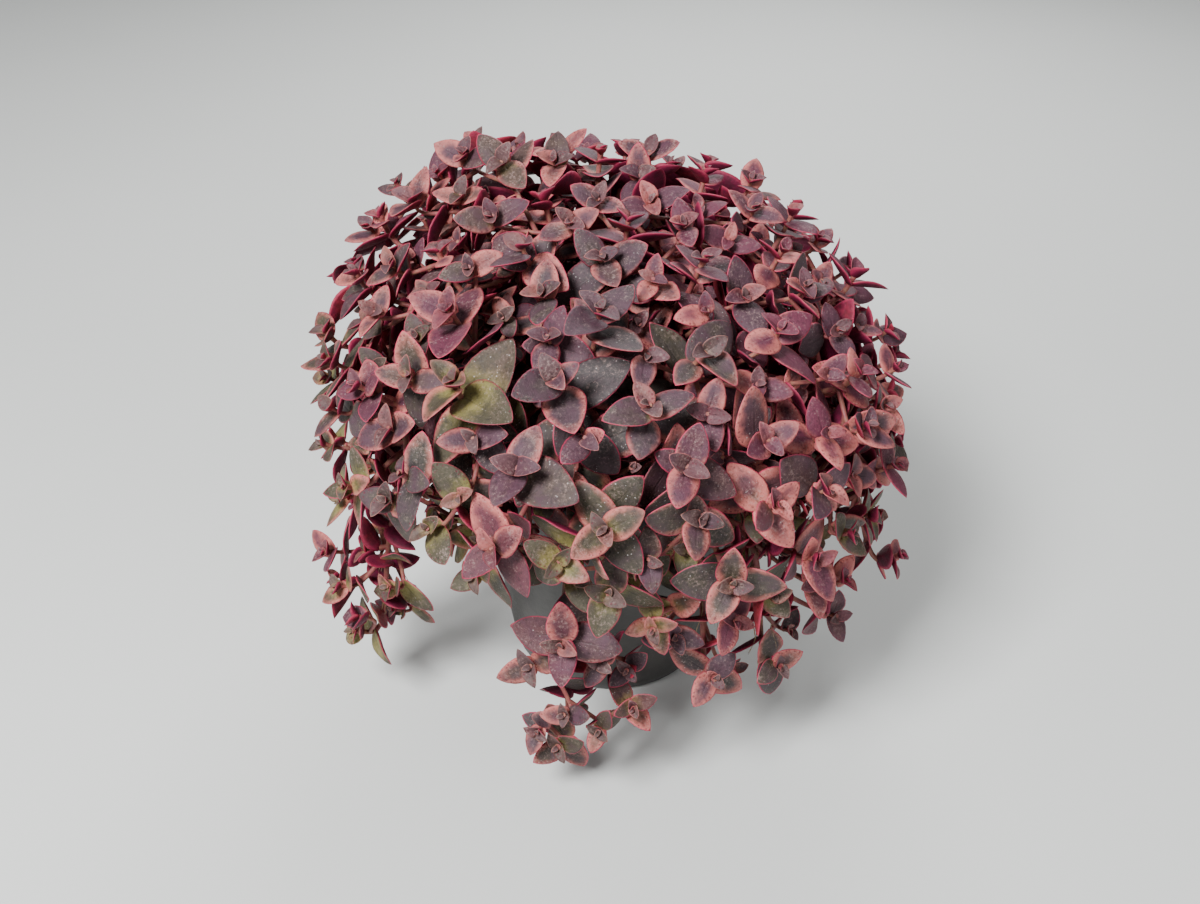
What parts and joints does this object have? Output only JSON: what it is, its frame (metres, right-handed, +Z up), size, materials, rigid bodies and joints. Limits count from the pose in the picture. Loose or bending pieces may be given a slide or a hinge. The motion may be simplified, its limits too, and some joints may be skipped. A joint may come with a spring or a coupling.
{
  "type": "potted crassula marginalis",
  "caption": "Bushy potted succulent: paired heart-shaped leaves on thin stems that arch out of a plain tapered pot into a dome, some trailing below the rim.",
  "frame": {"origin": "centre of the pot's underside, where it rests", "axes": "+Z up; the pot's axis is Z; -Y is the front, the side the picture shows; +X is to the right seen from the front"},
  "size_m": [0.2036, 0.1989, 0.1738],
  "materials": {
    "pot": "plain dark moulded plastic, satin",
    "soil": "crumbly damp potting mix",
    "foliage": "smooth fleshy leaves, grey-green and mauve with crimson rims and undersides"
  },
  "bodies": {
    "root": {"pot": "pot", "soil": "soil", "leafy_stem_01": "foliage", "leafy_stem_02": "foliage", "leafy_stem_03": "foliage", "leafy_stem_04": "foliage", "leafy_stem_05": "foliage", "leafy_stem_06": "foliage", "leafy_stem_07": "foliage", "leafy_stem_08": "foliage", "leafy_stem_09": "foliage", "leafy_stem_10": "foliage", "leafy_stem_11": "foliage", "leafy_stem_12": "foliage", "leafy_stem_13": "foliage", "leafy_stem_14": "foliage", "leafy_stem_15": "foliage", "leafy_stem_16": "foliage", "leafy_stem_17": "foliage", "leafy_stem_18": "foliage", "leafy_stem_19": "foliage", "leafy_stem_20": "foliage", "leafy_stem_21": "foliage", "leafy_stem_22": "foliage", "leafy_stem_23": "foliage", "leafy_stem_24": "foliage", "leafy_stem_25": "foliage", "leafy_stem_26": "foliage", "leafy_stem_27": "foliage", "leafy_stem_28": "foliage", "leafy_stem_29": "foliage", "leafy_stem_30": "foliage", "leafy_stem_31": "foliage", "leafy_stem_32": "foliage", "leafy_stem_33": "foliage", "leafy_stem_34": "foliage", "leafy_stem_35": "foliage", "leafy_stem_36": "foliage", "leafy_stem_37": "foliage", "leafy_stem_38": "foliage", "leafy_stem_39": "foliage", "leafy_stem_40": "foliage", "leafy_stem_41": "foliage", "leafy_stem_42": "foliage", "leafy_stem_43": "foliage", "leafy_stem_44": "foliage"}
  },
  "joints": []
}
